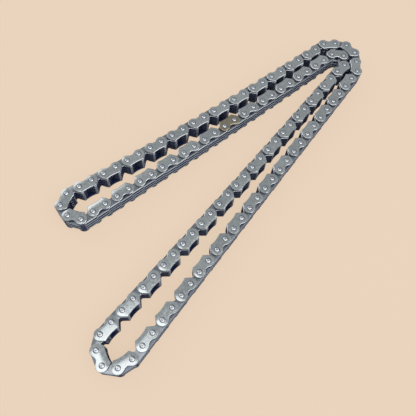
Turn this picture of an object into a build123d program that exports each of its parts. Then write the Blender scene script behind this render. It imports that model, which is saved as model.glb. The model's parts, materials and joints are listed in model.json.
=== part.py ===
from build123d import *
import os
from cmath import rect
from math import acos, atan2, cos, hypot, pi, radians, sin

# Timing chain of the toothed-plate kind, lying on its side with its pins upright.
# Millimetres, +Z up. Z = 0 is the plane that the lower pin heads stand on, and the
# origin is the middle of the folded loop. +X runs along the fold, towards its bend.
#
# The chain is one closed loop of links. Every second link is a guide link: two guide
# plates outside and toothed plates between them, all held by the link's two pins. The
# links between are inner links: toothed plates alone, which turn on those pins.

# Plates, seen flat: pins on the X axis, teeth towards -Y, the back towards +Y
pitch = 6.35                # from one pin to the next
end_radius = 2.65           # round ends of every plate, about its pins
tooth_depth = 3.55          # from the pin line to the tooth tips
tip_overhang = 0.4          # how far a tip's outer corner stands past its pin
tip_width = 0.95            # flat of a tooth's tip
crotch_floor = 1.15         # from the pin line to the top of the notch between teeth
crotch_radius = 0.8
foot_hollow = 0.45          # how far a guide plate's edge curves in between its corners
waist_floor = 1.4           # from the pin line to the bottom of a guide plate's back notch
corner_round = 0.25         # on the tooth tips and the guide plates' corners

# Stack, from the bottom up: guide plate, then inner and middle plates by turns
plate_thickness = 0.95
side_play = 0.03            # between each plate and the next
inner_plates = 4            # toothed plates in an inner link

# Pins, with riveted heads on the guide plates
pin_diameter = 1.9
running_gap = 0.04          # round a pin, in the plates that turn on it
press_gap = 0.01            # round a pin, in the plates of its own link
opened_gap = 0.09           # round the one pin where the ring of pivots is left open
head_diameter = 2.5
head_height = 0.3
head_chamfer = 0.12
dimple_diameter = 1.1
dimple_depth = 0.08

# Folded loop: two arms, each of an outer and an inner strand, with a bend between them
guide_links = 61
short_strand_links = 25
part_names = ("first", "second", "third")  # each strand's bodies, the way round the loop
short_outer_heading = -8.6  # degrees, the way round the loop
long_outer_heading = -171.4
short_outer_bow = 5.0       # degrees that a strand turns along its length
long_outer_bow = 0.5
long_inner_bow = 1.4
short_inner_bow = -2.1

# Turn at each pin of a bend, in degrees, shared out again so that the loop closes
outer_bend_turns = (33, 16, 42, 36, 5, 33)
long_end_turns = (21, 41, 56, 35, 31)
inner_bend_turns = (-6, 42, 85, 47)
short_end_turns = (53, 37, 57, 37)

pin_radius = pin_diameter / 2
layer = plate_thickness + side_play
stack_layers = 2 * inner_plates + 1
stack_height = stack_layers * layer - side_play
right_pin = (pitch / 2, 0)
tip_corner = (pitch / 2 + tip_overhang, -tooth_depth)


def on_circle(centre, radius, angle):
    return centre[0] + radius * cos(angle), centre[1] + radius * sin(angle)


def mirrored(point):
    return -point[0], point[1]


def touch_angle(centre, radius, point):
    """Where a line from a point below a circle touches its far side, as an angle."""
    across, up = point[0] - centre[0], point[1] - centre[1]
    return atan2(up, across) + acos(radius / hypot(across, up))


def closed_outline(middle, side):
    """A face from the edges that cross the middle, and one side's edges with their mirror images."""
    return make_face(middle + side + [edge.mirror(Plane.YZ) for edge in side])


def guide_outline():
    """Two lobes that run into a rounded notch, and a hollow edge between two corners."""
    squares = right_pin[0] ** 2 + waist_floor**2 - end_radius**2
    waist_radius = squares / (2 * (end_radius - waist_floor))
    waist = (0, waist_floor + waist_radius)
    flank = touch_angle(right_pin, end_radius, tip_corner)
    leave = atan2(waist[1], -right_pin[0])
    lobe_start = on_circle(right_pin, end_radius, flank)
    lobe_top = on_circle(right_pin, end_radius, (flank + leave) / 2)
    lobe_end = on_circle(right_pin, end_radius, leave)
    foot_middle = (0, foot_hollow - tooth_depth)
    foot = ThreePointArc(tip_corner, foot_middle, mirrored(tip_corner))
    notch = ThreePointArc(lobe_end, (0, waist_floor), mirrored(lobe_end))
    flank_line = Line(tip_corner, lobe_start)
    lobe = ThreePointArc(lobe_start, lobe_top, lobe_end)
    return closed_outline([foot, notch], [flank_line, lobe])


def tooth_outline():
    """Round ends, a straight back, and two teeth with a deep notch between them."""
    crotch = (0, -crotch_floor - crotch_radius)
    tip_inside = (tip_corner[0] - tip_width, tip_corner[1])
    flank = touch_angle(right_pin, end_radius, tip_corner)
    lobe_start = on_circle(right_pin, end_radius, flank)
    lobe_middle = on_circle(right_pin, end_radius, (flank + pi / 2) / 2)
    lobe_end = (right_pin[0], end_radius)
    notch_start = on_circle(crotch, crotch_radius, touch_angle(crotch, crotch_radius, tip_inside))
    back = Line(lobe_end, mirrored(lobe_end))
    notch = ThreePointArc(notch_start, (0, -crotch_floor), mirrored(notch_start))
    inner_flank = Line(notch_start, tip_inside)
    tip = Line(tip_inside, tip_corner)
    outer_flank = Line(tip_corner, lobe_start)
    lobe = ThreePointArc(lobe_start, lobe_middle, lobe_end)
    return closed_outline([back, notch], [inner_flank, tip, outer_flank, lobe])


def plate(outline, hole_gaps):
    """A plate with a hole for each pin, its under side at Z = 0."""
    lowest = outline.vertices().group_by(Axis.Y)[0]
    blank = fillet(lowest, corner_round)
    for side, gap in zip((-1, 1), hole_gaps):
        blank -= Pos(side * pitch / 2, 0) * Circle(pin_radius + gap)
    return extrude(blank, plate_thickness).solid()


def pin():
    """A plain shaft with a dimpled, chamfered rivet head at each end, standing on Z = 0."""
    head_radius = head_diameter / 2
    length = stack_height + 2 * head_height
    lower = [
        (0, dimple_depth),
        (dimple_diameter / 2, 0),
        (head_radius - head_chamfer, 0),
        (head_radius, head_chamfer),
        (head_radius, head_height),
        (pin_radius, head_height),
    ]
    upper = [(radius, length - height) for radius, height in reversed(lower)]
    profile = make_face(Polyline(lower + upper, close=True))
    return revolve(Plane.XZ * profile, Axis.Z).solid()


def strand(heading, bow, links):
    """Headings of a strand's links, which bows by an even turn along it."""
    return [heading + bow * (i / (links - 1) - 0.5) for i in range(links)]


def bend(start, end, turns):
    """Headings of the links between two strands, with the whole turn shared out."""
    share = (end - start) / sum(turns)
    return [start + share * sum(turns[: i + 1]) for i in range(len(turns) - 1)]


def runs(long_inner_heading, short_inner_heading):
    """Each run of links, the way round the loop, with its links' headings in degrees."""
    bends = (outer_bend_turns, long_end_turns, inner_bend_turns, short_end_turns)
    bend_links = sum(len(turns) - 1 for turns in bends)
    long_links = 2 * guide_links - 2 * short_strand_links - bend_links
    short_outer = strand(short_outer_heading, short_outer_bow, short_strand_links)
    long_outer = strand(long_outer_heading, long_outer_bow, long_links - long_links // 2)
    long_inner = strand(long_inner_heading, long_inner_bow, long_links // 2)
    short_inner = strand(short_inner_heading, short_inner_bow, short_strand_links)
    outer_bend = bend(short_outer[-1], long_outer[0], outer_bend_turns)
    return {
        "short_outer": short_outer,
        "outer_bend": outer_bend[:-1],
        "long_outer": outer_bend[-1:] + long_outer,
        "long_end": bend(long_outer[-1], long_inner[0], long_end_turns),
        "long_inner": long_inner,
        "inner_bend": bend(long_inner[-1], short_inner[0], inner_bend_turns),
        "short_inner": short_inner,
        "short_end": bend(short_inner[-1], short_outer[0] - 360, short_end_turns),
    }


def pin_places(layout):
    """Each link's first pin as a complex number, and last where the loop comes back to."""
    places = [0j]
    for headings in layout.values():
        for heading in headings:
            places.append(places[-1] + rect(pitch, radians(heading)))
    return places


def cross(a, b):
    return (a.conjugate() * b).imag


def closed_layout():
    """The runs, with both inner strands turned until the last link meets the first."""
    turned = [long_outer_heading - 180, short_outer_heading - 180]
    nudge = 0.001
    for _ in range(20):
        gap = pin_places(runs(*turned))[-1]
        long_slope = (pin_places(runs(turned[0] + nudge, turned[1]))[-1] - gap) / nudge
        short_slope = (pin_places(runs(turned[0], turned[1] + nudge))[-1] - gap) / nudge
        turned[0] -= cross(gap, short_slope) / cross(long_slope, short_slope)
        turned[1] -= cross(long_slope, gap) / cross(long_slope, short_slope)
    return runs(*turned)


def split(name, first, links):
    """A strand's bodies as {name: link numbers}, as even as they come, longer ones first."""
    bodies = {}
    for i, part_name in enumerate(part_names):
        left = len(part_names) - i
        count = -(-links // left)
        bodies[f"{name}_{part_name}"] = range(first, first + count)
        first += count
        links -= count
    return bodies


def bodies_of(layout):
    """Links by body: a strand is in parts, and each link of a bend is by itself."""
    bodies, first = {}, 0
    for name, headings in layout.items():
        if name.endswith("inner") or name.endswith("outer"):
            bodies |= split(name, first, len(headings))
        else:
            for i in range(len(headings)):
                bodies[f"{name}_link_{i + 1}"] = range(first + i, first + i + 1)
        first += len(headings)
    return bodies


def layer_floor(number):
    """Height of the under side of a plate in the stack, counted from 0 at the bottom."""
    return head_height + number * layer


class Loop:
    """The folded loop: where each link lies, and its plates and pins as solids there.

    The opened pin is the first of the short inner strand's second body, and the closing
    link is the first whole guide link past the one that this pin holds.
    """

    def __init__(self):
        layout = closed_layout()
        self.headings = [heading for headings in layout.values() for heading in headings]
        self.places = pin_places(layout)
        self.bodies = bodies_of(layout)
        self.opened_pin = self.bodies[f"short_inner_{part_names[1]}"][0]
        self.closing_link = self.opened_pin + 1 + self.opened_pin % 2
        self.guide = plate(guide_outline(), (press_gap, press_gap))
        self.middle = plate(tooth_outline(), (press_gap, press_gap))
        self.pin = pin()
        self.inner = {}

    def on_link(self, solid, link, height):
        """A solid made about a link's middle, at its place in the loop."""
        middle = (self.places[link] + self.places[link + 1]) / 2
        return Pos(middle.real, middle.imag, height) * Rot(0, 0, self.headings[link]) * solid

    def guide_plates(self, link):
        return [self.on_link(self.guide, link, layer_floor(n)) for n in (0, stack_layers - 1)]

    def middle_plates(self, link):
        layers = range(2, stack_layers - 1, 2)
        return [self.on_link(self.middle, link, layer_floor(n)) for n in layers]

    def inner_plate(self, link):
        """An inner link's plate, with the wider hole if it lies on the opened pin."""
        gaps = tuple(
            opened_gap if end == self.opened_pin else running_gap for end in (link, link + 1)
        )
        if gaps not in self.inner:
            self.inner[gaps] = plate(tooth_outline(), gaps)
        return self.inner[gaps]

    def inner_link_plates(self, link):
        layers = range(1, stack_layers, 2)
        blank = self.inner_plate(link)
        return [self.on_link(blank, link, layer_floor(n)) for n in layers]

    def pins(self, link):
        ends = (self.places[link], self.places[link + 1])
        return [Pos(end.real, end.imag, 0) * self.pin for end in ends]


def is_guide(link):
    return link % 2 == 1


def body_nodes(loop, body, links):
    """A body's solids by node: guide plates, toothed plates and pins, each kind by itself."""
    guides = [link for link in links if is_guide(link)]
    inners = [link for link in links if not is_guide(link)]
    outside = [solid for link in guides for solid in loop.guide_plates(link)]
    middle = [solid for link in guides for solid in loop.middle_plates(link)]
    inner = [solid for link in inners for solid in loop.inner_link_plates(link)]
    pins = [solid for link in guides for solid in loop.pins(link)]
    if len(links) > 1:
        return {
            f"{body}_guide_plates": outside,
            f"{body}_tooth_plates": middle + inner,
            f"{body}_pins": pins,
        }
    if guides:
        return {f"{body}_plates": outside + middle, f"{body}_pins": pins}
    return {f"{body}_tooth_plates": inner}


def all_nodes():
    """Every node's solids. The closing link's top plate is a node of its own."""
    loop = Loop()
    nodes = {}
    for body, links in loop.bodies.items():
        nodes |= body_nodes(loop, body, links)
        if loop.closing_link in links:
            kept = nodes[f"{body}_guide_plates"]
            top = kept.pop(2 * [n for n in links if is_guide(n)].index(loop.closing_link) + 1)
            nodes["closing_plate"] = [top]
    return nodes


def export(nodes):
    """Write each node to its own file, with the middle of the whole loop over the origin."""
    os.makedirs("parts", exist_ok=True)
    box = Compound([solid for solids in nodes.values() for solid in solids]).bounding_box()
    centring = Pos(-box.center().X, -box.center().Y, 0)
    for name, solids in nodes.items():
        group = Compound(label=name, children=[centring * solid for solid in solids])
        export_step(group, f"parts/{name}.step")


export(all_nodes())
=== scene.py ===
import json
from collections import namedtuple
from math import acos, atan2, cos, hypot, pi, radians, sin, tan
import bmesh
import bpy
from bpy.props import FloatProperty, FloatVectorProperty, IntProperty, PointerProperty
from mathutils import Matrix, Vector

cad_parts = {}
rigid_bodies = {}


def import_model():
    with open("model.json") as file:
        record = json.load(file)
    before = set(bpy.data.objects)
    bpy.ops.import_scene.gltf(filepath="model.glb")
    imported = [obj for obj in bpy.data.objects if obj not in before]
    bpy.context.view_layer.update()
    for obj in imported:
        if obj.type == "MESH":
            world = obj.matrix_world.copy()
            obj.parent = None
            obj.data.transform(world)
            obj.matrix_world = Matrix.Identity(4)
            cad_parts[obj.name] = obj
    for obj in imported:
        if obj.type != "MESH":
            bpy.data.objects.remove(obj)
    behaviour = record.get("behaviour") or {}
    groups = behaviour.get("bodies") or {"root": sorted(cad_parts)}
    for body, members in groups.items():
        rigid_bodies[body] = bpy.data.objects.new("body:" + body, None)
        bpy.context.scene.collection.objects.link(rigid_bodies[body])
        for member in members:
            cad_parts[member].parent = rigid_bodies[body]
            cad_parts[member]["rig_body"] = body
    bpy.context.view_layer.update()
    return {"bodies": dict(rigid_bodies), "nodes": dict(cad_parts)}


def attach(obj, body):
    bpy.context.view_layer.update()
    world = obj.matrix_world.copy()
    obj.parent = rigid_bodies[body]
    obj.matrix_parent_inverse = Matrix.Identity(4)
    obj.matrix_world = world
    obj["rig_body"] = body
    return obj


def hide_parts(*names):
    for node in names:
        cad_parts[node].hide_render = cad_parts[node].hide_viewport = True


bl_info = {
    "name": "Timing Chain",
    "version": (1, 0, 0),
    "blender": (4, 5, 0),
    "location": "3D View > Sidebar > Timing Chain",
    "description": "Laced link plates, riveted pins, closing plate and stage of a timing chain",
    "category": "Object",
}

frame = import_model()

MM = 0.001
MERGE_DISTANCE = 1e-7
PITCH_TOLERANCE = 0.03 * MM

# Layers of the stack, counted from the lower guide plates up to the upper ones
TOP_LAYER = 8
SIDE_LAYERS = (0, TOP_LAYER)

# Straight edges in each curve of the plates' outlines, and round their holes
FOOT_EDGES = 3
CORNER_EDGES = 2
LOWER_LOBE_EDGES = 2
GUIDE_LOBE_EDGES = 6
WAIST_EDGES = 3
NOTCH_EDGES = 2
TIP_EDGES = 1
TOOTH_LOBE_EDGES = 3
BORE_EDGES = 6

# Marks on the faces of a plate or pin: above 0 for how worn they are, below 0 for how much painted shade they
# carry
PLAIN = 0.0
RIM_WEAR = 1.0
EDGE_WEAR = 0.9
DIMPLE_WEAR = 0.9
CROWN_WEAR = 0.6
SLOPE_WEAR = 0.9
# Painted shade, laid where shade falls: on the pins' skirts, the guide plates' walls, and the toothed plates'
# notches and round ends
SKIRT_PAINTED_SHADE = -1.0
GUIDE_WALL_PAINTED_SHADE = -0.65
NOTCH_PAINTED_SHADE = -0.85
LOWER_LOBE_PAINTED_SHADE = -0.7
UPPER_LOBE_PAINTED_SHADE = -0.9

FLOAT, COLOUR, GEOMETRY = "NodeSocketFloat", "NodeSocketColor", "NodeSocketGeometry"


def length(name, description, mm):
    """A length setting whose default is given in millimetres."""
    return FloatProperty(
        name=name, description=description, default=mm * MM, unit="LENGTH", subtype="DISTANCE", precision=5
    )


def share(name, description, value):
    """A setting from 0 to 1."""
    return FloatProperty(
        name=name, description=description, default=value, min=0.0, max=1.0, subtype="FACTOR"
    )


def angle(name, description, degrees):
    """An angle setting whose default is given in degrees."""
    return FloatProperty(name=name, description=description, default=radians(degrees), subtype="ANGLE")


def colour(name, description, red, green, blue):
    """A colour setting, in scene-linear values."""
    return FloatVectorProperty(
        name=name,
        description=description,
        default=(red, green, blue),
        size=3,
        min=0.0,
        max=1.0,
        subtype="COLOR",
    )


def amount(name, description, value, unit="NONE"):
    """A plain number setting."""
    return FloatProperty(name=name, description=description, default=value, unit=unit)


def count(name, description, value, least=0):
    """A whole number setting."""
    return IntProperty(name=name, description=description, default=value, min=least)


class PlateSettings(bpy.types.PropertyGroup):
    """Sizes of the link plates, seen flat with their teeth towards -Y."""

    pitch: length("Pitch", "From one pin to the next", 6.35)
    end_radius: length("End radius", "Round ends of every plate, about its pins", 2.65)
    tooth_depth: length("Tooth depth", "From the pin line to the tooth tips", 3.55)
    tip_overhang: length("Tip overhang", "How far a tip's outer corner stands past its pin", 0.4)
    tip_width: length("Tip width", "Flat of a tooth's tip", 0.95)
    crotch_floor: length("Crotch floor", "From the pin line to the notch between the teeth", 1.15)
    crotch_radius: length("Crotch radius", "Round of the notch between the teeth", 0.8)
    foot_hollow: length("Foot hollow", "How far a guide plate's edge curves in", 0.45)
    waist_floor: length("Waist floor", "From the pin line to a guide plate's back notch", 1.4)
    corner_round: length("Corner round", "Round of the tips and corners", 0.25)
    thickness: length("Thickness", "Of every plate", 0.95)
    side_play: length("Side play", "Between each plate and the next", 0.03)
    bore: length("Bore", "Hole for a pin", 1.98)
    rim_width: length("Rim width", "Width of the rolled edge on a guide plate's outer face", 0.15)
    rim_fall: length("Rim fall", "How far the rolled edge falls", 0.085)
    edge_width: length("Edge width", "Width of the small chamfer on a toothed plate's upper edge", 0.13)
    edge_fall: length("Edge fall", "How far the small chamfer falls", 0.08)


class PinSettings(bpy.types.PropertyGroup):
    """Sizes of the riveted pins."""

    diameter: length("Diameter", "Of the shaft", 1.9)
    head_diameter: length("Head diameter", "Of the riveted heads", 2.5)
    head_height: length("Head height", "How far a head stands above its plate", 0.3)
    crown_diameter: length("Crown diameter", "Of a head's rounded crown, inside its dark skirt", 2.0)
    crown_fall: length("Crown fall", "From the top of the crown to its edge", 0.24)
    shoulder_diameter: length("Shoulder diameter", "Where the crown turns from nearly flat to sloping", 1.5)
    shoulder_fall: length("Shoulder fall", "From the top of the crown to its shoulder", 0.06)
    dimple_diameter: length("Dimple diameter", "Of the punch mark in a head", 1.1)
    dimple_depth: length("Dimple depth", "Of the punch mark in a head", 0.08)
    sides: count("Sides", "Flats round a pin", 10, least=6)


class FinishSettings(bpy.types.PropertyGroup):
    """Colours, wear and painted shade of the steel."""

    guide_steel: colour("Guide plates", "Satin steel of the guide plates", 0.515, 0.545, 0.55)
    tooth_steel: colour("Toothed plates", "Darker hardened steel of the toothed plates", 0.275, 0.295, 0.325)
    pin_steel: colour("Pins", "Riveted pin heads", 0.345, 0.355, 0.37)
    closing_steel: colour("Closing plate", "Bronze-coloured closing plate", 0.375, 0.333, 0.245)
    worn_steel: colour("Worn edges", "Bare steel where edges have rubbed bright", 0.74, 0.76, 0.78)
    sheared_steel: colour("Sheared edges", "Sheared walls of the plates", 0.3, 0.335, 0.37)
    # Painted shade: a navy colour put where shade falls, in recesses, on faces that other plates cover and
    # round the pin heads
    painted_shade_colour: colour("Oily recesses", "Painted shade between plates and round the heads", 0.016, 0.024, 0.074)
    worn_bronze: colour("Worn bronze", "Rubbed edges of the closing plate", 0.74, 0.64, 0.44)
    satin: share("Satin", "Roughness of the plates' faces", 0.17)
    wear: share("Wear", "How far the edges have rubbed bright", 0.75)
    # Upper band of each sheared wall: bright from burnishing, and painted lighter as well, as a painted
    # highlight line along each plate's edge
    burnish: share("Burnish", "How far the upper part of a sheared wall shines", 0.8)
    grain_size: length("Grain size", "Of the tumbled grain", 0.16)
    plate_curvature: amount("Plate curvature", "Of the faint dome of a plate's face, per metre", 58.0)
    mottle_size: length("Mottle size", "Of the lighter and darker patches", 1.3)
    shade_spread: share("Shade spread", "How much the plates differ in tone", 0.16)
    seed: count("Seed", "Of the chance differences between plates", 7)


class StageSettings(bpy.types.PropertyGroup):
    """Floor, light and camera."""

    floor_colour: colour("Floor", "Pale floor, as it is seen", 0.905, 0.7, 0.515)
    bounce_colour: colour("Floor bounce", "Floor as it throws light back on the chain", 0.5, 0.5, 0.52)
    floor_size: length("Floor size", "Side of the floor", 4000.0)
    floor_glow: share("Floor evenness", "How far the floor shows its own colour in any light", 0.8)
    backdrop_colour: colour("Backdrop", "Seen beyond the floor, in the floor's own tone", 0.823, 0.665, 0.515)
    sky_colour: colour("Surroundings", "Soft light from all round", 0.92, 0.96, 0.98)
    sky_strength: amount("Surroundings strength", "Of the light from all round", 0.505)
    top_power: amount("Top lamp power", "Of the soft lamp overhead", 3.15, "POWER")
    top_size: length("Top lamp size", "Side of the soft lamp overhead", 860.0)
    top_azimuth: angle("Top lamp azimuth", "0 is in front, towards -Y", -81.0)
    top_elevation: angle("Top lamp elevation", "Above the floor", 71.7)
    front_power: amount("Front lamp power", "Of the soft lamp in front", 5.6, "POWER")
    front_size: length("Front lamp size", "Side of the soft lamp in front", 1100.0)
    front_azimuth: angle("Front lamp azimuth", "0 is in front, towards -Y", 14.0)
    front_elevation: angle("Front lamp elevation", "Above the floor", 55.0)
    back_power: amount("Back lamp power", "Of the soft lamp behind", 3.0, "POWER")
    back_size: length("Back lamp size", "Side of the soft lamp behind", 900.0)
    back_azimuth: angle("Back lamp azimuth", "0 is in front, towards -Y", -170.0)
    back_elevation: angle("Back lamp elevation", "Above the floor", 32.0)
    lamp_distance: length("Lamp distance", "From the chain to each lamp", 1250.0)
    camera_azimuth: angle("Camera azimuth", "0 looks along +Y", -49.829)
    camera_elevation: angle("Camera elevation", "Above the floor", 65.241)
    camera_roll: angle("Camera roll", "Of the picture", 5.414)
    camera_distance: length("Camera distance", "From the point aimed at", 214.13)
    camera_lens: amount("Lens", "Focal length in mm, for a 36 mm sensor", 40.867)
    aim_x: length("Aim X", "Point at the middle of the picture", -23.368)
    aim_y: length("Aim Y", "Point at the middle of the picture", -12.304)
    aim_z: length("Aim Z", "Point at the middle of the picture", 9.39)


# Reading the frame: where each plate and pin lies

# A plate's or pin's middle, its heading, its layer and how many layers lie above it
Seat = namedtuple("Seat", "x y heading layer above")


def solids_of(node):
    """The corners of each solid in a CAD node, in the mesh's own order, from a merged copy of it."""
    merged = bmesh.new()
    merged.from_mesh(frame["nodes"][node].data)
    bmesh.ops.remove_doubles(merged, verts=merged.verts, dist=MERGE_DISTANCE)
    seen = set()
    solids = []
    for start in merged.verts:
        if start in seen:
            continue
        seen.add(start)
        waiting = [start]
        corners = []
        while waiting:
            corner = waiting.pop()
            corners.append(corner.co.copy())
            for edge in corner.link_edges:
                other = edge.other_vert(corner)
                if other not in seen:
                    seen.add(other)
                    waiting.append(other)
        solids.append(corners)
    merged.free()
    return solids


def middle_of(corners):
    """Middle of a solid's box, and the height of its lowest corner."""
    xs, ys = [c.x for c in corners], [c.y for c in corners]
    middle = Vector(((min(xs) + max(xs)) / 2, (min(ys) + max(ys)) / 2))
    return middle, min(c.z for c in corners)


def pin_places():
    """Middle of every pin, by the body that carries it."""
    return {
        body: [middle_of(corners)[0] for corners in solids_of(f"{body}_pins")]
        for body in frame["bodies"]
        if f"{body}_pins" in frame["nodes"]
    }


def seat_of(corners, pins):
    """Where a plate lies: midway between its two pins, headed so that its teeth are on the right."""
    plates, pin = scene().chain_plates, scene().chain_pins
    middle, floor = middle_of(corners)
    first, second = sorted(pins, key=lambda place: (place - middle).length)[:2]
    along = second - first
    if abs(along.length - plates.pitch) > PITCH_TOLERANCE:
        raise RuntimeError(f"a plate at {middle} has no two pins one pitch apart")
    left = Vector((-along.y, along.x)).normalized()
    reach = [(Vector((c.x, c.y)) - first).dot(left) for c in corners]
    if max(reach) > -min(reach):
        along = -along
    centre = (first + second) / 2
    layer = round((floor - pin.head_height) / (plates.thickness + plates.side_play))
    return Seat(centre.x, centre.y, atan2(along.y, along.x), layer, TOP_LAYER - layer)


def scene():
    """The scene, which holds the settings and every object."""
    return bpy.context.scene


def new_object(name, data):
    """An object in the scene, at the origin."""
    made = bpy.data.objects.new(name, data)
    scene().collection.objects.link(made)
    return made


# Outlines, as the corners of a plate's right half from the foot's middle up to the back's


def on_circle(centre, radius, angle):
    """Point on a circle at an angle."""
    return centre[0] + radius * cos(angle), centre[1] + radius * sin(angle)


def arc(centre, radius, start, end, edges):
    """Points on a circle from one angle to another, both included."""
    return [on_circle(centre, radius, start + (end - start) * i / edges) for i in range(edges + 1)]


def circle(centre, radius, sides):
    """Points all round a circle, anticlockwise from its right side."""
    return arc(centre, radius, 0, 2 * pi, sides)[:-1]


def touch_angle(centre, radius, point):
    """Where a line from a point below a circle touches its far side, as an angle."""
    across, up = point[0] - centre[0], point[1] - centre[1]
    return atan2(up, across) + acos(radius / hypot(across, up))


def rounded(before, corner, after, radius, edges, inwards):
    """A corner between two straight runs, cut back to an arc, when both runs are moved inwards."""
    corner = Vector(corner)
    back, on = (Vector(before) - corner).normalized(), (Vector(after) - corner).normalized()
    half = back.angle(on) / 2
    middle = corner + (back + on).normalized() * (radius + inwards) / sin(half)
    edge = (back + on).normalized() * radius / sin(half)
    start, end = back * radius / tan(half) - edge, on * radius / tan(half) - edge
    turn = start.angle_signed(end)
    first = atan2(start.y, start.x)
    return arc(middle, radius, first, first - turn, edges)


def pin_point(plate):
    """Middle of a plate's right pin."""
    return plate.pitch / 2, 0


def foot_corner(plate):
    """Outer corner of a tooth's tip, and of a guide plate's foot."""
    return plate.pitch / 2 + plate.tip_overhang, -plate.tooth_depth


def flank_angle(plate):
    """Where the straight flank from the foot's corner meets the round end."""
    return touch_angle(pin_point(plate), plate.end_radius, foot_corner(plate))


def lower_lobe(plate, inwards):
    """Round end from the flank up to the pin line."""
    return arc(pin_point(plate), plate.end_radius - inwards, flank_angle(plate), 0, LOWER_LOBE_EDGES)


def guide_half(plate, inwards=0.0):
    """Right half of a guide plate: hollow foot, round lobe and waist, all moved inwards by a distance.

    Gives its corners, and the number of the one on the pin line."""
    pin, corner, sag = pin_point(plate), foot_corner(plate), plate.foot_hollow
    foot_radius = (corner[0] ** 2 + sag**2) / (2 * sag)
    foot_centre = (0, sag - plate.tooth_depth - foot_radius)
    foot_end = atan2(corner[1] - foot_centre[1], corner[0])
    foot = arc(foot_centre, foot_radius + inwards, pi / 2, foot_end, FOOT_EDGES)
    before = arc(foot_centre, foot_radius, pi / 2, foot_end, FOOT_EDGES)[-2]
    after = on_circle(pin, plate.end_radius, flank_angle(plate))
    turn = rounded(before, corner, after, plate.corner_round, CORNER_EDGES, inwards)
    dip = plate.end_radius - plate.waist_floor
    waist_radius = (pin[0] ** 2 + plate.waist_floor**2 - plate.end_radius**2) / (2 * dip)
    waist = (0, plate.waist_floor + waist_radius)
    leave = atan2(waist[1], -pin[0])
    lobe = arc(pin, plate.end_radius - inwards, 0, leave, GUIDE_LOBE_EDGES)
    hollow = arc(waist, waist_radius + inwards, leave - pi, -pi / 2, WAIST_EDGES)
    low = foot[:-1] + turn + lower_lobe(plate, inwards)
    return low + lobe[1:] + hollow[1:], len(low) - 1


def tooth_half(plate, inwards=0.0):
    """Right half of a toothed plate: notch, tooth, round end and back, all moved inwards by a distance.

    Gives its corners, and the number of the one on the pin line."""
    pin, corner = pin_point(plate), foot_corner(plate)
    inside = (corner[0] - plate.tip_width, corner[1])
    crotch = (0, -plate.crotch_floor - plate.crotch_radius)
    leave = touch_angle(crotch, plate.crotch_radius, inside)
    notch = arc(crotch, plate.crotch_radius + inwards, pi / 2, leave, NOTCH_EDGES)
    before = on_circle(crotch, plate.crotch_radius, leave)
    after = on_circle(pin, plate.end_radius, flank_angle(plate))
    tip = rounded(before, inside, corner, plate.corner_round, TIP_EDGES, inwards)
    tip += rounded(inside, corner, after, plate.corner_round, TIP_EDGES, inwards)
    low = notch + tip + lower_lobe(plate, inwards)
    lobe = arc(pin, plate.end_radius - inwards, 0, pi / 2, TOOTH_LOBE_EDGES)
    return low + lobe[1:] + [(0, plate.end_radius - inwards)], len(low) - 1


# Plates and pins as meshes, made once and set in place by the node trees


def mirrored(points):
    """The whole outline of a plate from its right half."""
    return points + [(-x, y) for x, y in reversed(points[1:-1])]


def ring(mesh, points, height):
    """Corners of a closed run at one height."""
    return [mesh.verts.new((x, y, height)) for x, y in points]


def band(mesh, lower, upper, tag, value, smooth=False):
    """Faces between two rings of corners, marked above 0 for how worn they are and below 0 for how much
    painted shade they carry.
    """
    for i in range(len(lower)):
        j = (i + 1) % len(lower)
        face = mesh.faces.new((lower[i], lower[j], upper[j], upper[i]))
        face.smooth = smooth
        face[tag] = value(face.calc_center_median()) if callable(value) else value


def cap(mesh, outline, right, left_bore, right_bore, upwards):
    """The two halves of a plate's face, split along the pin line through its holes."""
    half = len(left_bore) // 2
    left = len(outline) - right
    over = outline[right : left + 1] + left_bore[half::-1] + right_bore[half::-1]
    under = outline[left:] + outline[: right + 1]
    for bore in (right_bore, left_bore):
        under += bore[:1] + bore[: half - 1 : -1]
    for corners in (over, under):
        mesh.faces.new(corners if upwards else corners[::-1]).smooth = False


def plate_blank(name, half, profile):
    """A plate about its own middle, with its under side at height 0, as an object to be repeated.

    The profile gives rings from the under side up, as (how far in, height, mark of the band below)."""
    plate = scene().chain_plates
    right = half(plate)[1]
    mesh = bmesh.new()
    tag = mesh.faces.layers.float.new("rim")
    rings = [ring(mesh, mirrored(half(plate, inwards)[0]), height) for inwards, height, _ in profile]
    for lower, upper, (_, _, mark) in zip(rings, rings[1:], profile[1:]):
        band(mesh, lower, upper, tag, mark)
    bores = []
    across_flats = plate.bore / 2 / cos(pi / BORE_EDGES)
    for centre_x in (-plate.pitch / 2, plate.pitch / 2):
        points = circle((centre_x, 0), across_flats, BORE_EDGES)
        bores.append([ring(mesh, points, height) for height in (0.0, plate.thickness)])
        band(mesh, bores[-1][1], bores[-1][0], tag, PLAIN)
    cap(mesh, rings[0], right, bores[0][0], bores[1][0], upwards=False)
    cap(mesh, rings[-1], right, bores[0][1], bores[1][1], upwards=True)
    own = mesh.verts.layers.float_vector.new("own_place")
    for corner in mesh.verts:
        corner[own] = corner.co
    return object_from(name, mesh)


def object_from(name, mesh):
    """An object in the scene from a finished mesh."""
    mesh.normal_update()
    data = bpy.data.meshes.new(name)
    mesh.to_mesh(data)
    mesh.free()
    return new_object(name, data)


def guide_blank():
    """A guide plate with a bright rolled edge on its outer face, over a wall darkened with painted shade."""
    plate = scene().chain_plates
    top = plate.thickness
    profile = [
        (0.0, 0.0, PLAIN),
        # The wall band carries painted shade
        (0.0, top - plate.rim_fall, GUIDE_WALL_PAINTED_SHADE),
        (plate.rim_width, top, RIM_WEAR),
    ]
    return plate_blank("guide_plate_blank", guide_half, profile)


def tooth_blank():
    """A toothed plate, with a small bright chamfer on its upper face and painted shade on its recessed walls.
    """
    plate = scene().chain_plates
    top = plate.thickness
    profile = [
        (0.0, 0.0, PLAIN),
        (0.0, top - plate.edge_fall, recess_painted_shade),
        (plate.edge_width, top, EDGE_WEAR),
    ]
    return plate_blank("tooth_plate_blank", tooth_half, profile)


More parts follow.
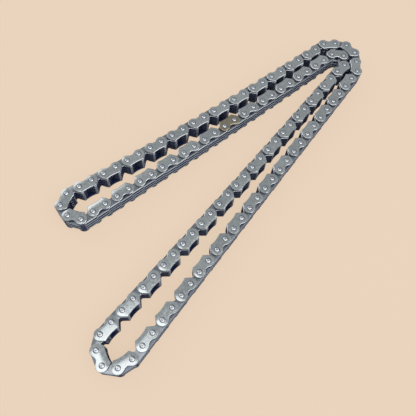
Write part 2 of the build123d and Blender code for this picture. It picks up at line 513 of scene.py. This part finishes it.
def recess_painted_shade(middle):
    """Mark of a toothed plate's wall: painted shade in the notch and on the round ends, which other plates
    hide.
    """
    plate = scene().chain_plates
    edge, tip = foot_corner(plate)
    above_tips = 0.98
    # Painted shade on the round ends and in the notch, where other plates stand beside the wall
    if abs(middle.x) > edge:
        return LOWER_LOBE_PAINTED_SHADE if middle.y < 0 else UPPER_LOBE_PAINTED_SHADE
    in_notch = tip * above_tips < middle.y < 0 and abs(middle.x) < edge - plate.tip_width
    return NOTCH_PAINTED_SHADE if in_notch else PLAIN


def pin_blank():
    """A pin with a rounded crown and a skirt darkened with painted shade at each end, dimpled by the riveting
    punch.
    """
    pin, height = scene().chain_pins, stack_height()
    dimple = pin.dimple_diameter / 2
    # From the middle out: radius, how far inside the pin's end, mark of the band inside it
    head = [
        (dimple / 2, pin.dimple_depth, PLAIN),
        (dimple, 0.0, DIMPLE_WEAR),
        (pin.shoulder_diameter / 2, pin.shoulder_fall, CROWN_WEAR),
        (pin.crown_diameter / 2, pin.crown_fall, SLOPE_WEAR),
        # The skirt band carries painted shade, a dark ring round the head
        (pin.head_diameter / 2, pin.head_height, SKIRT_PAINTED_SHADE),
        (pin.diameter / 2, pin.head_height, PLAIN),
    ]
    lower = [(radius, z) for radius, z, _ in head]
    upper = [(radius, height - z) for radius, z in reversed(lower)]
    marks = [mark for _, _, mark in head[1:]]
    mesh = bmesh.new()
    tag = mesh.faces.layers.float.new("rim")
    rings = [ring(mesh, circle((0, 0), radius, pin.sides), z) for radius, z in lower + upper]
    for low, high, mark in zip(rings, rings[1:], marks + [PLAIN] + marks[::-1]):
        band(mesh, low, high, tag, mark, smooth=mark >= PLAIN)
    for corners in (rings[0][::-1], rings[-1]):
        mesh.faces.new(corners).smooth = True
    return object_from("pin_blank", mesh)


def first_layer():
    """Height of the lowest plate's under side, on the lower pin heads."""
    return scene().chain_pins.head_height


def layer_height():
    """From one layer of the stack to the next."""
    return scene().chain_plates.thickness + scene().chain_plates.side_play


def stack_height():
    """From the foot of a pin to its top, over all the layers and both heads."""
    layers = TOP_LAYER + 1
    return layers * layer_height() - scene().chain_plates.side_play + 2 * scene().chain_pins.head_height


# Node trees


def set_or_link(tree, socket, source):
    """Set a socket to a value, or link it to another socket."""
    if isinstance(source, bpy.types.NodeSocket):
        tree.links.new(source, socket)
    else:
        socket.default_value = source


def add_node(tree, kind, links=(), **values):
    """A node with its own settings, its inputs linked or set: links are (input, where from)."""
    node = tree.nodes.new(kind)
    for name, value in values.items():
        setattr(node, name, value)
    for name, source in links:
        set_or_link(tree, node.inputs[name], source)
    return node


def maths(tree, operation, first, second=0.0):
    """Result of a sum on two values, in a shader or geometry tree."""
    return add_node(tree, "ShaderNodeMath", ((0, first), (1, second)), operation=operation).outputs[0]


def new_tree(name, kind, inputs, outputs):
    """A node tree with named inputs (label, type, default) and outputs (label, type)."""
    tree = bpy.data.node_groups.new(name, kind)
    for label, socket_type, default in inputs:
        socket = tree.interface.new_socket(label, in_out="INPUT", socket_type=socket_type)
        if default is not None:
            socket.default_value = default
    for label, socket_type in outputs:
        tree.interface.new_socket(label, in_out="OUTPUT", socket_type=socket_type)
    return tree, tree.nodes.new("NodeGroupInput").outputs, tree.nodes.new("NodeGroupOutput").inputs


def give(tree, out, **results):
    """Link a tree's results to its outputs."""
    for label, result in results.items():
        tree.links.new(result, out[label])


def of_type(sockets, socket_type):
    """The sockets of one type, by name, of a node that has its sockets once for each type."""
    return {socket.name: socket for socket in sockets if socket.type == socket_type}


def random_value(tree, low, high, seed, offset):
    """A chance value for each point, from a fixed seed."""
    node = add_node(tree, "FunctionNodeRandomValue", data_type="FLOAT")
    limits = of_type(node.inputs, "VALUE")
    set_or_link(tree, limits["Min"], low)
    set_or_link(tree, limits["Max"], high)
    set_or_link(tree, node.inputs["Seed"], maths(tree, "ADD", seed, offset))
    return of_type(node.outputs, "VALUE")["Value"]


def stacking_tree(name):
    """A tree that sets a plate or pin on each point, turned to its heading and lifted to its layer."""
    turn_stream, shade_stream = 100.0, 200.0
    tree, given, out = new_tree(
        name,
        "GeometryNodeTree",
        [
            ("Geometry", GEOMETRY, None),
            ("Blank", "NodeSocketObject", None),
            ("First layer", FLOAT, first_layer()),
            ("Layer height", FLOAT, layer_height()),
            ("Chance turn", FLOAT, 0.0),
            ("Seed", "NodeSocketInt", 0),
            ("Finish", "NodeSocketMaterial", None),
        ],
        [("Geometry", GEOMETRY)],
    )
    layer, heading = (
        add_node(tree, "GeometryNodeInputNamedAttribute", (("Name", label),), data_type="FLOAT").outputs[0]
        for label in ("layer", "heading")
    )
    height = maths(tree, "ADD", maths(tree, "MULTIPLY", layer, given["Layer height"]), given["First layer"])
    lifted = add_node(tree, "ShaderNodeCombineXYZ", (("Z", height),)).outputs[0]
    points = add_node(tree, "GeometryNodeSetPosition", (("Geometry", given["Geometry"]), ("Offset", lifted)))
    other_way = maths(tree, "MULTIPLY", given["Chance turn"], -1.0)
    turn = random_value(tree, other_way, given["Chance turn"], given["Seed"], turn_stream)
    turned = add_node(tree, "ShaderNodeCombineXYZ", (("Z", maths(tree, "ADD", heading, turn)),)).outputs[0]
    blank = add_node(tree, "GeometryNodeObjectInfo", (("Object", given["Blank"]),)).outputs["Geometry"]
    placed = add_node(
        tree,
        "GeometryNodeInstanceOnPoints",
        (("Points", points.outputs[0]), ("Instance", blank), ("Rotation", turned)),
    )
    shade = random_value(tree, 0.0, 1.0, given["Seed"], shade_stream)
    stored = add_node(
        tree,
        "GeometryNodeStoreNamedAttribute",
        (("Geometry", placed.outputs[0]), ("Name", "shade"), ("Value", shade)),
        data_type="FLOAT",
        domain="INSTANCE",
    )
    solid = add_node(tree, "GeometryNodeRealizeInstances", (("Geometry", stored.outputs[0]),))
    finish = (("Geometry", solid.outputs[0]), ("Material", given["Finish"]))
    finished = add_node(tree, "GeometryNodeSetMaterial", finish)
    give(tree, out, Geometry=finished.outputs[0])
    return tree


def points_object(name, seats):
    """An object with one corner for each seat, which holds its heading and layers."""
    data = bpy.data.meshes.new(name)
    data.from_pydata([(seat.x, seat.y, 0.0) for seat in seats], [], [])
    for label in ("heading", "layer", "above"):
        values = data.attributes.new(label, "FLOAT", "POINT").data
        for value, seat in zip(values, seats):
            value.value = getattr(seat, label)
    return new_object(name, data)


def stacked_piece(name, seats, tree, blank, finish, **inputs):
    """One plain mesh with the blank on every seat, from the tree on a points object."""
    made = points_object(name, seats)
    modifier = made.modifiers.new("Stack", "NODES")
    modifier.node_group = tree
    given = {"Blank": blank, "Finish": finish}
    given.update({label.replace("_", " ").capitalize(): value for label, value in inputs.items()})
    for item in tree.interface.items_tree:
        if item.in_out == "INPUT" and item.name in given:
            modifier[item.identifier] = given[item.name]
    bpy.context.view_layer.update()
    depsgraph = bpy.context.evaluated_depsgraph_get()
    mesh = bpy.data.meshes.new_from_object(
        made.evaluated_get(depsgraph), preserve_all_data_layers=True, depsgraph=depsgraph
    )
    made.modifiers.remove(modifier)
    made.data = mesh
    mesh.name = name
    if not mesh.polygons:
        raise RuntimeError(f"{name} came out empty")
    mesh.materials.clear()
    mesh.materials.append(finish)
    mesh.polygons.foreach_set("material_index", [0] * len(mesh.polygons))
    return made


# Finishes: groups that the steels share


def attribute(tree, name, output="Fac"):
    """A value or vector stored on the piece's mesh."""
    return add_node(tree, "ShaderNodeAttribute", attribute_name=name).outputs[output]


def split(tree, vector):
    """The X, Y and Z of a vector."""
    return add_node(tree, "ShaderNodeSeparateXYZ", (("Vector", vector),)).outputs


def noise(tree, scale, detail, roughness=0.5):
    """Noise over the piece's own coordinates."""
    place = add_node(tree, "ShaderNodeTexCoord").outputs["Object"]
    given = (("Vector", place), ("Scale", scale), ("Detail", detail), ("Roughness", roughness))
    return add_node(tree, "ShaderNodeTexNoise", given).outputs[0]


def ramp(tree, value, low, high, at_low=0.0, at_high=1.0):
    """A value that goes from one result to another as its source passes two marks."""
    given = (("Value", value), ("From Min", low), ("From Max", high), ("To Min", at_low), ("To Max", at_high))
    return add_node(tree, "ShaderNodeMapRange", given).outputs[0]


def mixed(tree, factor, first, second):
    """One colour mixed with another."""
    node = add_node(tree, "ShaderNodeMix", data_type="RGBA")
    colours = of_type(node.inputs, "RGBA")
    set_or_link(tree, of_type(node.inputs, "VALUE")["Factor"], factor)
    set_or_link(tree, colours["A"], first)
    set_or_link(tree, colours["B"], second)
    return of_type(node.outputs, "RGBA")["Result"]


def steel_grain_group():
    """Tumbled steel: slow mottling and fine grain, over the piece's own coordinates."""
    tree, given, out = new_tree(
        "Steel Grain",
        "ShaderNodeTree",
        [("Mottle size", FLOAT, 0.002), ("Grain size", FLOAT, 0.0002)],
        [("Mottle", FLOAT), ("Grain", FLOAT), ("Height", FLOAT)],
    )
    mottle_share = 0.6
    mottle = noise(tree, maths(tree, "DIVIDE", 1.0, given["Mottle size"]), detail=3.0, roughness=0.6)
    grain = noise(tree, maths(tree, "DIVIDE", 1.0, given["Grain size"]), detail=2.0, roughness=0.7)
    height = maths(tree, "ADD", grain, maths(tree, "MULTIPLY", mottle, mottle_share))
    give(tree, out, Mottle=mottle, Grain=grain, Height=height)
    return tree


def hidden_faces(tree, facing, back, notch_floor):
    """Where shade is painted: on faces that other plates cover, and in part on those seen only through a
    guide plate's back notch.
    """
    more_than_one, level, notch_shade_share = 1.5, 0.5, 0.35
    in_notch = maths(tree, "GREATER_THAN", back, notch_floor)
    above, below = attribute(tree, "above"), attribute(tree, "layer")
    upward, downward = maths(tree, "GREATER_THAN", facing, level), maths(tree, "LESS_THAN", facing, -level)
    topped = maths(tree, "GREATER_THAN", maths(tree, "SUBTRACT", above, in_notch), more_than_one)
    bottomed = maths(tree, "GREATER_THAN", maths(tree, "SUBTRACT", below, in_notch), more_than_one)
    topped, bottomed = maths(tree, "MULTIPLY", topped, upward), maths(tree, "MULTIPLY", bottomed, downward)
    under_guide = maths(tree, "MULTIPLY", maths(tree, "GREATER_THAN", above, more_than_one), upward)
    # Part of the painted shade, on faces seen through the back notch
    notch_painted_shade = maths(tree, "MULTIPLY", maths(tree, "MULTIPLY", under_guide, in_notch), notch_shade_share)
    return maths(tree, "MAXIMUM", maths(tree, "ADD", topped, bottomed), notch_painted_shade)


def wear_and_painted_shade_group():
    """Where edges have rubbed bright, where walls are sheared, where each wall's upper band is bright from
    burnishing and a painted highlight, and where shade is painted.
    """
    tree, given, out = new_tree(
        "Edge Wear",
        "ShaderNodeTree",
        [
            ("Wear", FLOAT, 0.7),
            ("Patch size", FLOAT, 0.001),
            ("Notch floor", FLOAT, 0.0014),
            ("Thickness", FLOAT, 0.00095),
        ],
        [("Worn", FLOAT), ("Wall", FLOAT), ("Burnished", FLOAT), ("Oily", FLOAT)],
    )
    patch_low, patch_high = 0.0, 0.4
    upright, sloping = 0.1, 0.4
    dull_up_to, shiny_from = 0.6, 0.66
    rim = attribute(tree, "rim")
    own = split(tree, attribute(tree, "own_place", "Vector"))
    facing = split(tree, add_node(tree, "ShaderNodeNewGeometry").outputs["Normal"])["Z"]
    patches = noise(tree, maths(tree, "DIVIDE", 1.0, given["Patch size"]), detail=2.0)
    patches = ramp(tree, patches, patch_low, patch_high)
    rubbed = maths(tree, "MULTIPLY", maths(tree, "MAXIMUM", rim), patches)
    worn = maths(tree, "MULTIPLY", rubbed, given["Wear"])
    wall = ramp(tree, maths(tree, "ABSOLUTE", facing), upright, sloping, at_low=1.0, at_high=0.0)
    # Upper band of each wall: burnishing, painted light as well as a highlight line
    burnish_and_highlight = ramp(tree, maths(tree, "DIVIDE", own["Z"], given["Thickness"]), dull_up_to, shiny_from)
    hidden = hidden_faces(tree, facing, own["Y"], given["Notch floor"])
    # Painted shade: the marks below 0 and the faces hidden under other plates
    painted_shade_mask = maths(tree, "MAXIMUM", maths(tree, "MULTIPLY", rim, -1.0), hidden)
    give(tree, out, Worn=worn, Wall=wall, Burnished=burnish_and_highlight, Oily=maths(tree, "MAXIMUM", painted_shade_mask))
    return tree


def plate_dome_group():
    """Height of a plate's faint dome, highest between its pins and falling to its edge."""
    tree, given, out = new_tree(
        "Plate Dome",
        "ShaderNodeTree",
        [("Curvature", FLOAT, 20.0), ("Half pitch", FLOAT, 0.003)],
        [("Height", FLOAT)],
    )
    own = split(tree, attribute(tree, "own_place", "Vector"))
    past_pin = maths(tree, "SUBTRACT", maths(tree, "ABSOLUTE", own["X"]), given["Half pitch"])
    past_pin = maths(tree, "MAXIMUM", past_pin)
    squares = [maths(tree, "POWER", past_pin, 2.0), maths(tree, "MULTIPLY", own["Y"], own["Y"])]
    fall = maths(tree, "MULTIPLY", maths(tree, "ADD", *squares), given["Curvature"])
    give(tree, out, Height=maths(tree, "MULTIPLY", fall, -0.5))
    return tree


def plate_tone_group():
    """Tone of a piece: lighter and darker by plate, by mottling and by grain, about the given colour."""
    tree, given, out = new_tree(
        "Plate Tone",
        "ShaderNodeTree",
        [
            ("Steel", COLOUR, (0.5, 0.5, 0.5, 1.0)),
            ("Spread", FLOAT, 0.15),
            ("Mottle", FLOAT, 0.5),
            ("Grain", FLOAT, 0.5),
        ],
        [("Tone", COLOUR)],
    )
    mottle_spread, grain_spread, usual = 0.7, 0.3, 0.5
    factor = 1.0
    for source, spread in (
        (attribute(tree, "shade"), given["Spread"]),
        (given["Mottle"], mottle_spread),
        (given["Grain"], grain_spread),
    ):
        about_zero = maths(tree, "SUBTRACT", source, usual)
        factor = maths(tree, "ADD", maths(tree, "MULTIPLY", about_zero, spread), factor)
    scaled = add_node(tree, "ShaderNodeVectorMath", ((0, given["Steel"]),), operation="SCALE")
    tree.links.new(factor, scaled.inputs["Scale"])
    give(tree, out, Tone=scaled.outputs[0])
    return tree


SHARED_GROUPS = {
    "Steel Grain": steel_grain_group,
    "Edge Wear": wear_and_painted_shade_group,
    "Plate Dome": plate_dome_group,
    "Plate Tone": plate_tone_group,
}


def shared(tree, name, **inputs):
    """A shared effect placed in a material with its own values, built the first time that one asks for it."""
    group = bpy.data.node_groups.get(name) or SHARED_GROUPS[name]()
    node = add_node(tree, "ShaderNodeGroup", node_tree=group)
    for label, source in inputs.items():
        set_or_link(tree, node.inputs[label.replace("_", " ").capitalize()], source)
    return node.outputs


# Finishes: materials


def opaque(rgb):
    """A colour setting as a shader's socket takes it."""
    return (*rgb, 1.0)


def steel_colour(tree, grain, wear, steel, worn, wall_share):
    """Face, sheared wall with its burnishing and painted highlight band, worn edge and painted shade, each
    over the one before.
    """
    values = scene().chain_finish
    wall_spread = values.shade_spread * 4
    speckle = {"mottle": grain["Mottle"], "grain": grain["Grain"]}
    face = shared(tree, "Plate Tone", steel=opaque(steel), spread=values.shade_spread, **speckle)
    sheared = shared(tree, "Plate Tone", steel=opaque(values.sheared_steel), spread=wall_spread, **speckle)
    # Upper band of each wall, painted light as a highlight line
    burnish_and_highlight = maths(tree, "MULTIPLY", wear["Burnished"], values.burnish)
    wall = mixed(tree, burnish_and_highlight, sheared["Tone"], opaque(worn))
    walled = mixed(tree, maths(tree, "MULTIPLY", wear["Wall"], wall_share), face["Tone"], wall)
    edged = mixed(tree, wear["Worn"], walled, opaque(worn))
    # Painted shade laid over everything else
    return mixed(tree, wear["Oily"], edged, opaque(values.painted_shade_colour))


def steel_roughness(tree, grain, wear, middle):
    """Satin that varies with the mottling, and duller walls."""
    low_mottle, high_mottle, swing, dull_wall = 0.3, 0.7, 0.06, 0.3
    satin = ramp(tree, grain["Mottle"], low_mottle, high_mottle, middle - swing, middle + swing)
    return maths(tree, "ADD", satin, maths(tree, "MULTIPLY", wear["Wall"], dull_wall))


def steel_relief(tree, grain, wear, bump):
    """Normal from the grain and the plate's dome, left off the walls."""
    values, plate = scene().chain_finish, scene().chain_plates
    dome = shared(tree, "Plate Dome", curvature=values.plate_curvature, half_pitch=plate.pitch / 2)
    grain_depth = 0.25
    grain_height = bump * values.grain_size * grain_depth
    height = maths(tree, "ADD", maths(tree, "MULTIPLY", grain["Height"], grain_height), dome["Height"])
    height = maths(tree, "MULTIPLY", height, maths(tree, "SUBTRACT", 1.0, wear["Wall"]))
    relief = add_node(tree, "ShaderNodeBump", (("Strength", 1.0), ("Distance", 1.0), ("Height", height)))
    return relief.outputs[0]


def steel_finish(name, steel, worn, rougher, wall_share, bump):
    """A steel material: mottled and grained, bright at worn edges, dull on its walls with a painted highlight
    band, and dark with painted shade.
    """
    if name in bpy.data.materials:
        return bpy.data.materials[name]
    values, plate = scene().chain_finish, scene().chain_plates
    material = bpy.data.materials.new(name)
    material.use_nodes = True
    tree = material.node_tree
    shader = tree.nodes["Principled BSDF"].inputs
    grain = shared(tree, "Steel Grain", mottle_size=values.mottle_size, grain_size=values.grain_size)
    faint_sheen = 0.03
    sizes = {"notch_floor": plate.waist_floor, "thickness": plate.thickness}
    wear = shared(tree, "Edge Wear", wear=values.wear, **sizes)
    # Faces with painted shade are made dull like the walls
    dull = maths(tree, "MAXIMUM", wear["Wall"], wear["Oily"])
    tree.links.new(steel_colour(tree, grain, wear, steel, worn, wall_share), shader["Base Color"])
    tree.links.new(maths(tree, "SUBTRACT", 1.0, dull), shader["Metallic"])
    tree.links.new(steel_roughness(tree, grain, wear, values.satin + rougher), shader["Roughness"])
    tree.links.new(steel_relief(tree, grain, wear, bump), shader["Normal"])
    shader["Specular IOR Level"].default_value = faint_sheen
    return material


def guide_finish():
    """Bright satin steel of the guide plates."""
    values = scene().chain_finish
    steel, worn = values.guide_steel, values.worn_steel
    return steel_finish("Guide Plate Steel", steel, worn, rougher=0.0, wall_share=0.5, bump=0.13)


def tooth_finish():
    """Darker steel of the toothed plates."""
    values = scene().chain_finish
    steel, worn = values.tooth_steel, values.worn_steel
    return steel_finish("Tooth Plate Steel", steel, worn, rougher=0.04, wall_share=0.9, bump=0.2)


def pin_finish():
    """Riveted steel of the pins."""
    values = scene().chain_finish
    steel, worn = values.pin_steel, values.worn_steel
    return steel_finish("Pin Steel", steel, worn, rougher=0.06, wall_share=0.9, bump=0.3)


def closing_finish():
    """Bronze colour of the closing plate."""
    values = scene().chain_finish
    steel, worn = values.closing_steel, values.worn_bronze
    return steel_finish("Closing Plate Steel", steel, worn, rougher=0.05, wall_share=0.5, bump=0.25)


def floor_finish():
    """A matt pale floor with a very faint unevenness, seen in its own colour whatever light falls on it."""
    stage = scene().chain_stage
    unevenness, clouds_per_metre, matt, faint_sheen = 0.01, 6.0, 0.95, 0.1
    material = bpy.data.materials.new("Pale Floor")
    material.use_nodes = True
    tree = material.node_tree
    shader = tree.nodes["Principled BSDF"]
    darker, lighter = (
        opaque(min(part * factor, 1.0) for part in stage.floor_colour)
        for factor in (1 - unevenness, 1 + unevenness)
    )
    tint = mixed(tree, noise(tree, clouds_per_metre, detail=2.0), darker, lighter)
    shader.inputs["Base Color"].default_value = opaque(stage.bounce_colour)
    shader.inputs["Roughness"].default_value = matt
    shader.inputs["Specular IOR Level"].default_value = faint_sheen
    glow = add_node(tree, "ShaderNodeEmission", (("Color", tint), ("Strength", 1.0)))
    rays = add_node(tree, "ShaderNodeLightPath").outputs
    seen = maths(tree, "MAXIMUM", rays["Is Camera Ray"], rays["Is Glossy Ray"])
    seen = maths(tree, "MAXIMUM", seen, rays["Is Transmission Ray"])
    even = maths(tree, "MULTIPLY", seen, stage.floor_glow)
    both = add_node(tree, "ShaderNodeMixShader", ((0, even), (1, shader.outputs[0]), (2, glow.outputs[0])))
    tree.links.new(both.outputs[0], tree.nodes["Material Output"].inputs["Surface"])
    return material


# Operators


def all_pins():
    """Middle of every pin of the chain."""
    return [place for places in pin_places().values() for place in places]


def plate_nodes(body, label):
    """The CAD nodes that hold a body's guide plates or toothed plates."""
    return [node for node in (f"{body}_{label}", f"{body}_plates") if node in frame["nodes"]]


def plate_seats(nodes, pins):
    """Where every plate of some CAD nodes lies."""
    return [seat_of(corners, pins) for node in nodes for corners in solids_of(node)]


def stack_inputs(number=0):
    """What every stack of plates is given, with a seed of its own for each body."""
    return {
        "first_layer": first_layer(),
        "layer_height": layer_height(),
        "seed": scene().chain_finish.seed + number,
    }


def dress(piece, body, slot, *nodes):
    """Let a finished piece ride on its body in place of its CAD nodes."""
    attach(piece, body)
    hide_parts(*nodes)


def lower_blank(blank):
    """The guide plate's blank turned over, outer face down and teeth still towards -Y."""
    thickness = scene().chain_plates.thickness
    data = blank.data.copy()
    data.transform(Matrix.Translation((0, 0, thickness)) @ Matrix.Rotation(pi, 4, "Y"))
    return new_object("lower_guide_plate_blank", data)


def joined(pieces, name):
    """Several pieces of one body made one mesh."""
    whole = bmesh.new()
    for piece in pieces:
        whole.from_mesh(piece.data)
    data = bpy.data.meshes.new(name)
    data.materials.append(pieces[0].data.materials[0])
    whole.to_mesh(data)
    whole.free()
    for piece in pieces[1:]:
        bpy.data.objects.remove(piece)
    pieces[0].data = data
    pieces[0].name = name
    return pieces[0]


class CHAIN_OT_guide_plates(bpy.types.Operator):
    """Set the guide plates on both sides of every guide link"""

    bl_idname = "chain.guide_plates"
    bl_label = "Add Guide Plates"

    def execute(self, context):
        pins, tree = all_pins(), stacking_tree("Guide Plate Stack")
        upper = guide_blank()
        blanks = {TOP_LAYER: upper, 0: lower_blank(upper)}
        for number, body in enumerate(frame["bodies"]):
            nodes = plate_nodes(body, "guide_plates")
            seats = plate_seats(nodes, pins)
            inputs = stack_inputs(number)
            halves = []
            for layer, blank in blanks.items():
                chosen = [seat for seat in seats if seat.layer == layer]
                if chosen:
                    name = f"{body}_guides_{layer}"
                    halves.append(stacked_piece(name, chosen, tree, blank, guide_finish(), **inputs))
            if halves:
                dress(joined(halves, f"{body}_outer_plates"), body, "guide_plate_steel", *nodes)
        for blank in blanks.values():
            bpy.data.objects.remove(blank)
        return {"FINISHED"}


class CHAIN_OT_tooth_plates(bpy.types.Operator):
    """Set the toothed plates of the guide links and the inner links between them"""

    bl_idname = "chain.tooth_plates"
    bl_label = "Add Toothed Plates"

    def execute(self, context):
        pins, tree, blank = all_pins(), stacking_tree("Toothed Plate Stack"), tooth_blank()
        for number, body in enumerate(frame["bodies"]):
            nodes = plate_nodes(body, "tooth_plates")
            seats = [seat for seat in plate_seats(nodes, pins) if seat.layer not in SIDE_LAYERS]
            if not seats:
                raise RuntimeError(f"{body} has no toothed plates")
            name = f"{body}_laced_plates"
            piece = stacked_piece(name, seats, tree, blank, tooth_finish(), **stack_inputs(number))
            dress(piece, body, "tooth_plate_steel", *nodes)
        bpy.data.objects.remove(blank)
        return {"FINISHED"}


class CHAIN_OT_pins(bpy.types.Operator):
    """Set a riveted pin at both ends of every guide link"""

    bl_idname = "chain.pins"
    bl_label = "Add Pins"

    def execute(self, context):
        tree, blank = stacking_tree("Pin Row"), pin_blank()
        for number, (body, places) in enumerate(pin_places().items()):
            seats = [Seat(place.x, place.y, 0.0, 0, 0) for place in places]
            inputs = {**stack_inputs(number), "first_layer": 0.0, "chance_turn": pi}
            piece = stacked_piece(f"{body}_riveted_pins", seats, tree, blank, pin_finish(), **inputs)
            dress(piece, body, "pin_steel", f"{body}_pins")
        bpy.data.objects.remove(blank)
        return {"FINISHED"}


class CHAIN_OT_closing_plate(bpy.types.Operator):
    """Set the bronze-coloured plate where the loop is joined"""

    bl_idname = "chain.closing_plate"
    bl_label = "Add Closing Plate"

    def execute(self, context):
        node = "closing_plate"
        body = frame["nodes"][node]["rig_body"]
        tree, blank = stacking_tree("Closing Plate Stack"), guide_blank()
        seats = plate_seats([node], all_pins())
        piece = stacked_piece("bronze_closing_plate", seats, tree, blank, closing_finish(), **stack_inputs())
        dress(piece, body, "closing_plate_steel", node)
        bpy.data.objects.remove(blank)
        return {"FINISHED"}


def direction(azimuth, elevation):
    """Unit vector out to an azimuth and elevation, where azimuth 0 lies towards -Y."""
    return Vector((sin(azimuth) * cos(elevation), -cos(azimuth) * cos(elevation), sin(elevation)))


def add_floor(stage):
    """A pale floor under the pins' lower heads."""
    half = stage.floor_size / 2
    corners = [(-half, -half, 0), (half, -half, 0), (half, half, 0), (-half, half, 0)]
    data = bpy.data.meshes.new("floor")
    data.from_pydata(corners, [], [(0, 1, 2, 3)])
    data.materials.append(floor_finish())
    floor = new_object("floor", data)


def add_lamp(name, power, size, azimuth, elevation, distance):
    """A square soft lamp that faces the chain."""
    data = bpy.data.lights.new(name, "AREA")
    data.energy, data.size = power, size
    lamp = new_object(name, data)
    towards = direction(azimuth, elevation)
    lamp.location = towards * distance
    lamp.rotation_euler = towards.to_track_quat("Z", "Y").to_euler()


def add_surroundings(stage):
    """Even light from all round, with the floor's own tone where the camera sees past it."""
    world = bpy.data.worlds.new("Surroundings")
    world.use_nodes = True
    tree = world.node_tree
    background = tree.nodes["Background"]
    background.inputs["Color"].default_value = opaque(stage.sky_colour)
    background.inputs["Strength"].default_value = stage.sky_strength
    seen_tone = (("Color", opaque(stage.backdrop_colour)), ("Strength", 1.0))
    backdrop = add_node(tree, "ShaderNodeBackground", seen_tone)
    seen = add_node(tree, "ShaderNodeLightPath").outputs["Is Camera Ray"]
    mixture = ((0, seen), (1, background.outputs[0]), (2, backdrop.outputs[0]))
    both = add_node(tree, "ShaderNodeMixShader", mixture)
    tree.links.new(both.outputs[0], tree.nodes["World Output"].inputs["Surface"])
    scene().world = world


def add_lamps(stage):
    """Soft lamps overhead, in front and behind."""
    for side in ("top", "front", "back"):
        power, size, azimuth, elevation = (
            getattr(stage, f"{side}_{value}") for value in ("power", "size", "azimuth", "elevation")
        )
        add_lamp(f"{side}_lamp", power, size, azimuth, elevation, stage.lamp_distance)


def add_camera(stage):
    """The camera at the photograph's viewing angle."""
    back = direction(stage.camera_azimuth, stage.camera_elevation)
    right = Vector((0, 0, 1)).cross(back).normalized()
    up = back.cross(right)
    turned = Matrix((right, up, back)).transposed() @ Matrix.Rotation(stage.camera_roll, 3, "Z")
    data = bpy.data.cameras.new("camera")
    data.lens = stage.camera_lens
    nearest, farthest = 0.01, 10.0
    data.clip_start, data.clip_end = nearest, farthest
    camera = new_object("camera", data)
    place = Vector((stage.aim_x, stage.aim_y, stage.aim_z)) + back * stage.camera_distance
    camera.matrix_world = Matrix.Translation(place) @ turned.to_4x4()
    scene().camera = camera


class CHAIN_OT_stage(bpy.types.Operator):
    """Add the floor, the light and the camera"""

    bl_idname = "chain.stage"
    bl_label = "Add Stage"

    def execute(self, context):
        stage = context.scene.chain_stage
        context.scene.view_settings.view_transform = "Standard"
        add_floor(stage)
        add_surroundings(stage)
        add_lamps(stage)
        add_camera(stage)
        return {"FINISHED"}


class CHAIN_PT_panel(bpy.types.Panel):
    """Settings and operators of the timing chain"""

    bl_label = "Timing Chain"
    bl_idname = "CHAIN_PT_panel"
    bl_space_type = "VIEW_3D"
    bl_region_type = "UI"
    bl_category = "Timing Chain"

    def draw(self, context):
        for group, operators in PANEL_ROWS:
            box = self.layout.box()
            values = getattr(context.scene, group)
            for name in values.bl_rna.properties.keys():
                if name not in ("name", "rna_type"):
                    box.prop(values, name)
            for operator in operators:
                box.operator(operator)


PANEL_ROWS = (
    ("chain_plates", ("chain.guide_plates", "chain.tooth_plates", "chain.closing_plate")),
    ("chain_pins", ("chain.pins",)),
    ("chain_finish", ()),
    ("chain_stage", ("chain.stage",)),
)
SETTINGS = {
    "chain_plates": PlateSettings,
    "chain_pins": PinSettings,
    "chain_finish": FinishSettings,
    "chain_stage": StageSettings,
}
CLASSES = (
    *SETTINGS.values(),
    CHAIN_OT_guide_plates,
    CHAIN_OT_tooth_plates,
    CHAIN_OT_pins,
    CHAIN_OT_closing_plate,
    CHAIN_OT_stage,
    CHAIN_PT_panel,
)


def register():
    """Add the classes, and the settings to the scene."""
    for one in CLASSES:
        bpy.utils.register_class(one)
    for name, group in SETTINGS.items():
        setattr(bpy.types.Scene, name, PointerProperty(type=group))


def unregister():
    """Take the settings and the classes away again."""
    for name in SETTINGS:
        delattr(bpy.types.Scene, name)
    for one in reversed(CLASSES):
        bpy.utils.unregister_class(one)


def main():
    """Make the whole visual model."""
    register()
    bpy.ops.chain.guide_plates()
    bpy.ops.chain.tooth_plates()
    bpy.ops.chain.closing_plate()
    bpy.ops.chain.pins()
    bpy.ops.chain.stage()


if __name__ == "__main__":
    main()
